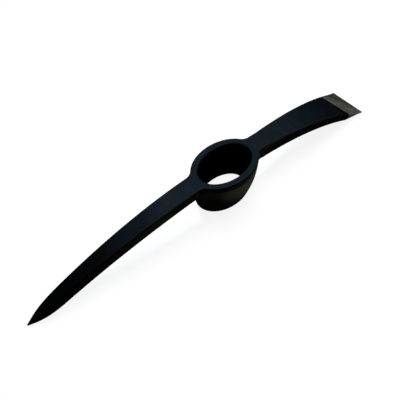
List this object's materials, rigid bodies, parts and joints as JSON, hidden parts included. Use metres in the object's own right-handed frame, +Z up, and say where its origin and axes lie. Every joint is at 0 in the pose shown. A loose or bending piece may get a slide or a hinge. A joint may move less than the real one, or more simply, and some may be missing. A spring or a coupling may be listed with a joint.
{
  "type": "pick head",
  "caption": "Black painted steel pick head: a deep tapered oval eye for a handle, an arched arm drawn to a point, and an arched arm flared to a bare ground chisel edge.",
  "frame": {"origin": "on the axis of the eye, in the plane of the collar's lower rim", "axes": "+X from the eye towards the chisel edge, -X towards the point, +Z up the axis of the eye to its wide mouth"},
  "size_m": [0.538, 0.0668, 0.0585],
  "materials": {
    "black_paint": "satin black enamel over forged steel",
    "ground_steel": "bare steel with grinding marks across the edge"
  },
  "bodies": {
    "root": {"eye_collar": "black_paint", "pick_arm": "black_paint", "pick_point": "black_paint", "chisel_arm": "black_paint", "chisel_bit": "ground_steel"}
  },
  "joints": []
}
